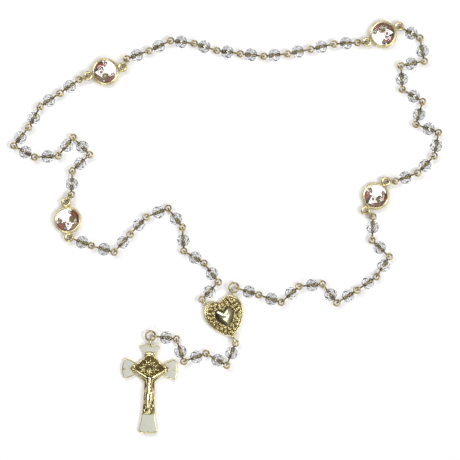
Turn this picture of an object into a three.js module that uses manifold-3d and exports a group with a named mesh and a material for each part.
// Five-decade rosary laid flat on a table: faceted beads on eye pins, four domed
// medallions, a heart centre medal and a pendant that ends in a crucifix.
// Millimetres and degrees, +Z up, table at z = 0. The origin is the middle of the
// heart medal's flat back.
import * as THREE from 'three';
import { mergeVertices } from 'three/addons/utils/BufferGeometryUtils.js';
import Module from 'manifold-3d';

const wasm = await Module();
wasm.setup();

// ---- beads and their eye pins
const beadDiameter = 6.0;
const beadLength = 5.0;
const beadSides = 8;
const boreClearance = 0.2;
const wireDiameter = 0.75;
const eyeRadius = 1.25; // of the eye's centre line
const stemLength = 0.725; // from an eye's centre line to the bead's face

// ---- jump rings, ears and the play between links
const ringWire = 0.8;
const linkGap = 0.3; // play kept between two linked wires
const earHolePlay = 0.475;
const earBand = 1.25;
const earThickness = 1.2;
const earSideGap = 0.6; // from an ear's outer edge to the far side of an eye through it
const earEyeGap = 0.4; // between an ear and the bead's eye in the same jump ring

// ---- medallions
const bezelDiameter = 11.6;
const bezelWall = 0.7;
const bezelFloor = 1.6;
const earReach = 1.8; // from the bezel's side to the middle of an ear's hole
const domeRise = 1.0;
const seatGap = 0.3;

// ---- heart medal
const heartTurn = 20.6;
const heartRimWidth = 1.1;
const heartRecess = 0.8;
const heartBossRise = 1.0; // of the raised inner heart over the rim
const heartEarWire = 0.8;
const heartEarRadius = 1.35;
const heartShoulder = { x: 6.8, y: 10.4 }; // the outer wire of each shoulder ear
const heartFoot = 12.3; // the outer wire of the ear below the tip

// ---- crucifix
const crossTurn = -1.6;
const crossHeight = 38.5;
const crossSpan = 24.0;
const crossDrop = 0.8; // from the link height down to the cross's face
const bailRadius = 1.6;
const bailWire = 0.8;
const armHeight = 10.6; // from the cross's top edge down to the line of the arms
const corpusHeight = 19.5; // crown of the head to the toes
const pinGap = 0.3; // between the corpus and the cross that carries it

// ---- the lay of the chain: the heading of each bead, anticlockwise from +X.
// Beads 1, 4, 7 and 10 of a decade swing. Each of them has a partner elsewhere in the
// loop that lies exactly the other way, so that the two swing together and the loop
// stays closed.
const decadeHeadings = [
  [47, 127, 149, 93, 127, 202, 227, 228, 164, 160],
  [88, 43, 134, 231, 183, 151, 51, 61, 34, 35],
  [20, 25, -7, -17, -8, -6, 6, 11, 13, 3],
  [-29, -79, -169, -87, -31, -106, -20, -100, -134, -160],
  [-92, -42, -121, -145, -148, -233, -174, -137, -197, 163],
];
const medallionHeadings = [95, 14, 26, -125];
// heading of the jump ring before and after each medallion, where it has one
const ringBefore = [null, 23, 5, 183];
const ringAfter = [55, 62, null, -40];
const pendantHeadings = [248, 150, 200, 108, 173];
const heartRingHeading = 20;
const heartRingExit = -10; // where the last bead's eye sits in the heart's ring
const crossRingEntry = -5; // where the pendant's last eye sits in the crucifix's ring
const beadsPerNode = [1, 2, 1, 2, 1, 2, 1];

// ---- sizes that follow
const axisHeight = beadDiameter / 2; // every link lies at this height
const bezelHeight = axisHeight + earThickness / 2; // level with the top of its ears
const heartThickness = axisHeight; // the ears' roots lie half sunk in its face
const heartBossHeight = heartThickness + heartBossRise;
const crossThickness = axisHeight - crossDrop;
const pitch = 3 * eyeRadius + 2 * stemLength + beadLength;
const eyeOuter = eyeRadius + wireDiameter / 2;
const earHole = wireDiameter / 2 + earHolePlay;
const earOuter = earHole + earBand;
const largeEyeRadius = (earOuter + earSideGap + wireDiameter / 2) / 2;
const ringRadius = (earOuter + eyeOuter + earEyeGap) / 2;
const earDistance = bezelDiameter / 2 + earReach;
const eyeInRing = ringRadius - ringWire / 2 - wireDiameter / 2 - linkGap;
const earInRing = ringRadius - ringWire / 2 - heartEarWire / 2 - linkGap;
const bailInRing = ringRadius - ringWire / 2 - bailWire / 2 - linkGap;

const finishes = {
  crystal: { color: 0xdfe3e6, roughness: 0.05, metalness: 0.0 },
  wire: { color: 0xb59a56, roughness: 0.25, metalness: 1.0 },
  casting: { color: 0xcbb474, roughness: 0.3, metalness: 1.0 },
  dome: { color: 0xf2efe8, roughness: 0.05, metalness: 0.0 },
  figure: { color: 0xd6bf7c, roughness: 0.3, metalness: 1.0 },
};

// ---- helpers
const radians = THREE.MathUtils.degToRad;

function alongHeading(degrees, length) {
  return new THREE.Vector2(Math.cos(radians(degrees)), Math.sin(radians(degrees))).multiplyScalar(length);
}

function toSolid(geometry) {
  const bare = geometry.index ? geometry.toNonIndexed() : geometry.clone();
  bare.deleteAttribute('normal');
  bare.deleteAttribute('uv');
  const welded = mergeVertices(bare, 1e-5);
  const vertProperties = new Float32Array(welded.attributes.position.array);
  const triVerts = new Uint32Array(welded.index.array);
  return new wasm.Manifold(new wasm.Mesh({ numProp: 3, vertProperties, triVerts }));
}

function toGeometry(solid) {
  const { vertProperties, triVerts } = solid.getMesh();
  const geometry = new THREE.BufferGeometry();
  geometry.setAttribute('position', new THREE.BufferAttribute(new Float32Array(vertProperties), 3));
  geometry.setIndex(new THREE.BufferAttribute(new Uint32Array(triVerts), 1));
  return geometry;
}

function joined(solids) {
  return solids.reduce((whole, next) => whole.add(next));
}

function addPiece(parent, name, geometry, finish) {
  const flat = geometry.index ? geometry.toNonIndexed() : geometry;
  flat.computeVertexNormals();
  const mesh = new THREE.Mesh(flat, new THREE.MeshStandardMaterial(finishes[finish]));
  mesh.name = name;
  parent.add(mesh);
  return mesh;
}

// A group at a point on the link height, turned to a heading.
function placedAt(point, heading) {
  const group = new THREE.Group();
  group.position.set(point.x, point.y, axisHeight);
  group.rotation.z = radians(heading);
  rosary.add(group);
  return group;
}

function spun(profile, sides) {
  return new THREE.LatheGeometry(profile.map(([r, z]) => new THREE.Vector2(r, z)), sides);
}

// A lathe turns about Y; these stand it along Z or lay it along X.
function turnedUp(profile, sides) {
  return spun(profile, sides).rotateX(Math.PI / 2);
}

function turnedAlong(profile, sides) {
  return spun(profile, sides).rotateZ(-Math.PI / 2);
}

// A rod between two points.
function rod(from, to, radius, sides = 5) {
  const axis = new THREE.Vector3().subVectors(to, from);
  const geometry = new THREE.CylinderGeometry(radius, radius, axis.length(), sides);
  const up = new THREE.Vector3(0, 1, 0);
  geometry.applyQuaternion(new THREE.Quaternion().setFromUnitVectors(up, axis.normalize()));
  return geometry.translate(...new THREE.Vector3().addVectors(from, to).multiplyScalar(0.5).toArray());
}

function rodX(start, end, radius) {
  return toSolid(rod(new THREE.Vector3(start, 0, 0), new THREE.Vector3(end, 0, 0), radius));
}

// A wire ring: flat in XY, or upright in XZ.
function wireRing(radius, wire, middle, upright, steps = 8) {
  const ring = new THREE.TorusGeometry(radius, wire / 2, 4, steps);
  if (upright) {
    ring.rotateX(Math.PI / 2);
  }
  return toSolid(ring.translate(middle, 0, 0));
}

// ---- beads and pins, each made along +X with its first pivot at the origin
function beadProfile(bore) {
  const half = beadLength / 2;
  const radius = beadDiameter / 2;
  const outer = [[0.55 * radius, -half], [radius, -0.2 * half], [radius, 0.2 * half], [0.55 * radius, half]];
  return bore > 0
    ? [[bore, -half], ...outer, [bore, half], [bore, -half]]
    : [[0, -half], ...outer, [0, half]];
}

function beadGeometry(bore, middle) {
  return turnedAlong(beadProfile(bore), beadSides).translate(middle, 0, 0);
}

// How far an eye reaches from its pivot to the foot of its stem: a flat eye has its
// pivot at its middle, an upright eye at its far wire.
function eyeReach(eye) {
  return eye.upright ? 2 * eye.radius : eye.radius;
}

function eyeSolid(eye, pivot, inward) {
  const middle = eye.upright ? pivot + inward * eye.radius : pivot;
  return wireRing(eye.radius, wireDiameter, middle, eye.upright);
}

function beadMiddle(link) {
  return (eyeReach(link.start) + pitch - eyeReach(link.end)) / 2;
}

function pinSolid(link) {
  return joined([
    eyeSolid(link.start, 0, 1),
    rodX(eyeReach(link.start), pitch - eyeReach(link.end), wireDiameter / 2),
    eyeSolid(link.end, pitch, -1),
  ]);
}

function linkSolid(link) {
  return pinSolid(link).add(toSolid(beadGeometry(0, beadMiddle(link))));
}

// Beads that share a node: each is carried on from the last one's end, with a short
// bar in the eye between them that makes the two a single body.
function runSolid(links, headings) {
  let whole = linkSolid(links[0]);
  let end = new THREE.Vector2(pitch, 0);
  for (let i = 1; i < links.length; i += 1) {
    const turn = headings[i] - headings[0];
    const next = linkSolid(links[i]).add(rodX(0, eyeRadius, 0.4 * wireDiameter));
    whole = whole.add(next.rotate([0, 0, turn]).translate([end.x, end.y, 0]));
    end = end.add(alongHeading(turn, pitch));
  }
  return whole;
}

const flatEye = { upright: false, radius: eyeRadius };
const uprightEye = { upright: true, radius: eyeRadius };
const largeEye = { upright: true, radius: largeEyeRadius };

// The kinds of eye along one decade. At every junction one eye is flat and the other
// upright, so the order depends on what the decade starts and ends in.
function decadeLinks(decade) {
  const startsOnEar = decade > 0 && ringAfter[decade - 1] === null;
  const endsOnEar = decade < 4 && ringBefore[decade] === null;
  const endsOnRing = decade < 4 && !endsOnEar;
  const usual = startsOnEar
    ? { start: uprightEye, end: flatEye }
    : { start: flatEye, end: uprightEye };
  const links = decadeHeadings[decade].map(() => ({ ...usual }));
  if (startsOnEar) {
    links[0].start = largeEye;
  }
  if (endsOnEar) {
    links[9].end = largeEye;
  }
  if (endsOnRing) {
    links[9].end = flatEye;
  }
  return links;
}

// ---- the decades
function runEnd(start, headings) {
  return headings.reduce((point, heading) => point.clone().add(alongHeading(heading, pitch)), start);
}

function nodeName(decade, first, count) {
  const beads = count === 1 ? `bead_${first + 1}` : `beads_${first + 1}_${first + count}`;
  return `decade_${decade + 1}_${beads}`;
}

function addDecade(decade, start, headings) {
  const links = decadeLinks(decade);
  let point = start;
  let first = 0;
  for (const count of beadsPerNode) {
    const part = headings.slice(first, first + count);
    const place = placedAt(point, part[0]);
    const solid = runSolid(links.slice(first, first + count), part);
    addPiece(place, nodeName(decade, first, count), toGeometry(solid), 'crystal');
    point = runEnd(point, part);
    first += count;
  }
  return point;
}

// The last decade comes back to the heart: its beads 2-3 and 8-9 are turned as two
// stiff arms until the chain ends at the heart's ring.
function closedHeadings(start, goal) {
  const chosen = decadeHeadings[4];
  const span = (from, to) => runEnd(new THREE.Vector2(), chosen.slice(from, to));
  const kept = span(0, 1).add(span(3, 7)).add(span(9, 10));
  const reach = goal.clone().sub(start).sub(kept);
  const armA = span(1, 3);
  const armB = span(7, 9);
  const sum = reach.length();
  const cosA = (armA.lengthSq() + sum ** 2 - armB.lengthSq()) / (2 * armA.length() * sum);
  const cosB = (armB.lengthSq() + sum ** 2 - armA.lengthSq()) / (2 * armB.length() * sum);
  const turnA = THREE.MathUtils.radToDeg(reach.angle() + Math.acos(cosA) - armA.angle());
  const turnB = THREE.MathUtils.radToDeg(reach.angle() - Math.acos(cosB) - armB.angle());
  return chosen.map((heading, i) => {
    if (i === 1 || i === 2) {
      return heading + turnA;
    }
    return i === 7 || i === 8 ? heading + turnB : heading;
  });
}

// ---- medallions
function earSolid(middle) {
  const height = axisHeight + earThickness / 2;
  const disc = [[0, 0], [earOuter, 0], [earOuter, earThickness], [0, earThickness]];
  const bore = [[0, -1], [earHole, -1], [earHole, earThickness + 1], [0, earThickness + 1]];
  const place = (profile) => turnedUp(profile, 12).translate(middle, 0, height - earThickness);
  return toSolid(place(disc)).subtract(toSolid(place(bore)));
}

// The jump ring in an ear, joined to it by a bar from the ear's band.
function earRing(pivot, inward, turn) {
  const ring = wireRing(ringRadius, ringWire, inward * ringRadius, true, 10).rotate([0, 0, turn]);
  const bar = rodX(-inward * (earHole + earBand / 2), 0, 0.4 * ringWire);
  return ring.add(bar).translate([pivot, 0, axisHeight]);
}

function bezelSolid(index) {
  const outer = bezelDiameter / 2;
  const inner = outer - bezelWall;
  const cup = [[0, 0], [outer - 0.4, 0], [outer, 0.4], [outer, bezelHeight],
    [inner, bezelHeight], [inner, bezelFloor], [0, bezelFloor]];
  const well = [[0, bezelFloor], [inner, bezelFloor], [inner, bezelHeight + 1], [0, bezelHeight + 1]];
  const ears = joined([earSolid(-earDistance), earSolid(earDistance)]);
  const parts = [toSolid(turnedUp(cup, 24)), ears.subtract(toSolid(turnedUp(well, 24)))];
  const heading = medallionHeadings[index];
  if (ringBefore[index] !== null) {
    parts.push(earRing(-earDistance, -1, ringBefore[index] - heading));
  }
  if (ringAfter[index] !== null) {
    parts.push(earRing(earDistance, 1, ringAfter[index] - heading));
  }
  return joined(parts);
}

function domeGeometry() {
  const radius = bezelDiameter / 2 - bezelWall - seatGap;
  const base = bezelFloor + seatGap;
  const crown = [0.85, 0.6, 0.3].map((f) => [f * radius, bezelHeight + domeRise * (1 - f * f)]);
  const profile = [[0, base], [radius, base], [radius, bezelHeight], ...crown, [0, bezelHeight + domeRise]];
  return turnedUp(profile, 16);
}

function addMedallion(index, start) {
  const heading = medallionHeadings[index];
  const ringLength = (turn) => (turn === null ? new THREE.Vector2() : alongHeading(turn, 2 * ringRadius));
  const entry = start.clone().add(ringLength(ringBefore[index]));
  const middle = entry.clone().add(alongHeading(heading, earDistance));
  const place = placedAt(middle, heading);
  place.position.z = 0;
  addPiece(place, `medallion_${index + 1}_bezel`, toGeometry(bezelSolid(index)), 'casting');
  addPiece(place, `medallion_${index + 1}_dome`, domeGeometry(), 'dome');
  const exit = middle.clone().add(alongHeading(heading, earDistance));
  return exit.add(ringLength(ringAfter[index]));
}

// ---- heart medal
function heartShape(scale = 1, drop = 0) {
  const shape = new THREE.Shape();
  const at = (x, y) => [x * scale, y * scale - drop];
  shape.moveTo(...at(0, 6.2));
  shape.bezierCurveTo(...at(-1.5, 8.6), ...at(-6.0, 9.2), ...at(-7.8, 5.8));
  shape.bezierCurveTo(...at(-9.8, 2.2), ...at(-8.2, -4.0), ...at(0, -9.8));
  shape.bezierCurveTo(...at(8.2, -4.0), ...at(9.8, 2.2), ...at(7.8, 5.8));
  shape.bezierCurveTo(...at(6.0, 9.2), ...at(1.5, 8.6), ...at(0, 6.2));
  return shape;
}

function plate(shape, bottom, top, curveSegments = 6) {
  const options = { depth: top - bottom, bevelEnabled: false, curveSegments };
  return toSolid(new THREE.ExtrudeGeometry(shape, options).translate(0, 0, bottom));
}

// An upright ear: its outer wire stands at the given reach along its heading, and a
// neck ties it to the casting.
function uprightEar(radius, wire, reach, neck, height) {
  const ring = wireRing(radius, wire, reach - radius, true);
  const root = rodX(neck, reach - 2 * radius, wire / 2);
  return ring.add(root).translate([0, 0, height]);
}

function heartSolid() {
  const rimScale = 1 - heartRimWidth / 8.5;
  const body = plate(heartShape(), 0, heartThickness);
  const recess = plate(heartShape(rimScale), heartThickness - heartRecess, heartThickness + 1);
  const boss = plate(heartShape(0.42, 0.4), heartThickness - heartRecess - 0.2, heartBossHeight);
  const earBase = new THREE.Vector2(5.4, 6.0);
  const shoulder = new THREE.Vector2(heartShoulder.x, heartShoulder.y).sub(earBase);
  const lean = THREE.MathUtils.radToDeg(shoulder.angle());
  const earReachOut = shoulder.length();
  const ear = uprightEar(heartEarRadius, heartEarWire, earReachOut, 0, axisHeight);
  const right = ear.rotate([0, 0, lean]).translate([earBase.x, earBase.y, 0]);
  const left = ear.rotate([0, 0, 180 - lean]).translate([-earBase.x, earBase.y, 0]);
  const tip = new THREE.Vector2(0, -8.6);
  const foot = uprightEar(heartEarRadius, heartEarWire, heartFoot + tip.y, 0, axisHeight);
  const bottom = foot.rotate([0, 0, -90]).translate([0, tip.y, 0]);
  const blank = plate(heartShape(), 0, heartThickness - heartRecess);
  return joined([body.subtract(recess), boss, left, right, bottom, blank]);
}

function heartPoint(x, y) {
  return new THREE.Vector2(x, y).rotateAround(new THREE.Vector2(), radians(heartTurn));
}

function addHeart() {
  const place = placedAt(new THREE.Vector2(), heartTurn);
  place.position.z = 0;
  addPiece(place, 'heart_medal', toGeometry(heartSolid()), 'casting');
  const ear = heartPoint(heartShoulder.x, heartShoulder.y);
  const middle = ear.clone().add(alongHeading(heartRingHeading, earInRing));
  const ring = wireRing(ringRadius, ringWire, 0, false, 16);
  addPiece(placedAt(middle, 0), 'heart_jump_ring', toGeometry(ring), 'wire');
  return middle.add(alongHeading(heartRingExit, eyeInRing));
}

// ---- pendant: each bead is a piece of its own and turns on its pin
function addPendant(start) {
  const bore = wireDiameter / 2 + boreClearance;
  const link = { start: flatEye, end: uprightEye };
  let point = start;
  pendantHeadings.forEach((heading, i) => {
    const place = placedAt(point, heading);
    addPiece(place, `pendant_pin_${i + 1}`, toGeometry(pinSolid(link)), 'wire');
    addPiece(place, `pendant_bead_${i + 1}`, beadGeometry(bore, beadMiddle(link)), 'crystal');
    point = runEnd(point, [heading]);
  });
  return point;
}

// ---- crucifix, made with the middle of its top edge at the origin and its foot
// towards -Y
function crossShape() {
  const half = crossSpan / 2;
  // the right side from the top edge's middle: each point, and the control point of the
  // curve that leads to it where that side is curved
  const side = [
    { to: [4.5, -0.6], by: [2.4, 0] },
    { to: [2.4, -5.0], by: [3.4, -2.6] },
    { to: [4.9, -armHeight + 2.5] },
    { to: [half - 1.6, -armHeight + 4.4], by: [half - 4.6, -armHeight + 3.0] },
    { to: [half - 1.6, -armHeight - 4.4], by: [half + 1.5, -armHeight] },
    { to: [4.9, -armHeight - 2.5], by: [half - 4.6, -armHeight - 3.0] },
    { to: [2.05, -armHeight - 5.7] },
    { to: [4.1, -crossHeight + 1.4], by: [2.1, -crossHeight + 9.0] },
    { to: [0, -crossHeight], by: [2.6, -crossHeight] },
  ];
  const shape = new THREE.Shape();
  const draw = ([x, y], by) => (by ? shape.quadraticCurveTo(...by, x, y) : shape.lineTo(x, y));
  const mirrored = ([x, y]) => [-x, y];
  shape.moveTo(0, 0);
  side.forEach(({ to, by }) => draw(to, by));
  for (let i = side.length - 1; i >= 0; i -= 1) {
    const to = i > 0 ? side[i - 1].to : [0, 0];
    draw(mirrored(to), side[i].by && mirrored(side[i].by));
  }
  return shape;
}

function crossSolid(bailReach) {
  const body = plate(crossShape(), 0, crossThickness, 5);
  const bail = uprightEar(bailRadius, bailWire, bailReach + 1, 0, axisHeight);
  return body.add(bail.rotate([0, 0, 90]).translate([0, -1, 0]));
}

function limb(points, radii) {
  const rods = [];
  for (let i = 1; i < points.length; i += 1) {
    const from = new THREE.Vector3(...points[i - 1]);
    const to = new THREE.Vector3(...points[i]);
    rods.push(toSolid(rod(from, to, radii[i - 1])));
  }
  return joined(rods);
}

// The figure in plain form: head, body, arms raised to the bar and legs drawn together.
// Heights along the cross are counted from the line of the arms.
function corpusSolid() {
  const scale = corpusHeight / 19.5;
  const base = crossThickness + pinGap + 0.9;
  const at = (x, y, lift = 0) => [x * scale, -armHeight + y * scale, base + lift];
  const headRadius = 1.25 * scale;
  const head = toSolid(new THREE.SphereGeometry(headRadius, 8, 6)).translate(at(-0.1, -0.6, 0.4));
  const neck = limb([at(0, -0.8, 0.3), at(0, -3.4)], [0.65 * scale]);
  const trunk = limb([at(0, -2.7), at(0, -6.0, 0.1), at(0, -9.4)], [1.6 * scale, 1.3 * scale]);
  const arm = (side) => limb([at(side * 7.6, 0.3), at(side * 4.3, -1.7), at(0, -3.8)], [0.5 * scale, 0.75 * scale]);
  const legs = limb([at(0, -9.0), at(0.3, -13.0, 0.3), at(0, -18.7)], [1.3 * scale, 0.85 * scale]);
  const whole = joined([head, neck, trunk, arm(-1), arm(1), legs]);
  // flat behind, clear of the cross
  const slab = toSolid(new THREE.BoxGeometry(30, 60, 10));
  return whole.subtract(slab.translate([0, -crossHeight / 2, crossThickness + pinGap - 5]));
}

function addCrucifix(start) {
  const middle = start.clone().add(alongHeading(crossRingEntry + 180, eyeInRing));
  const ring = wireRing(ringRadius, ringWire, 0, false, 16);
  addPiece(placedAt(middle, 0), 'crucifix_jump_ring', toGeometry(ring), 'wire');
  const bailReach = 2 * bailRadius - bailWire / 2;
  const place = placedAt(middle, crossTurn);
  place.position.z = 0;
  const cross = new THREE.Group();
  cross.position.y = -bailInRing - bailReach;
  place.add(cross);
  addPiece(cross, 'cross', toGeometry(crossSolid(bailReach)), 'casting');
  addPiece(cross, 'corpus', toGeometry(corpusSolid()), 'figure');
}

// ---- the whole rosary
const rosary = new THREE.Group();
const loopEnd = addHeart();
let reached = heartPoint(-heartShoulder.x, heartShoulder.y);
for (let decade = 0; decade < 4; decade += 1) {
  reached = addDecade(decade, reached, decadeHeadings[decade]);
  reached = addMedallion(decade, reached);
}
addDecade(4, reached, closedHeadings(reached, loopEnd));
addCrucifix(addPendant(heartPoint(0, -heartFoot)));

export default rosary;
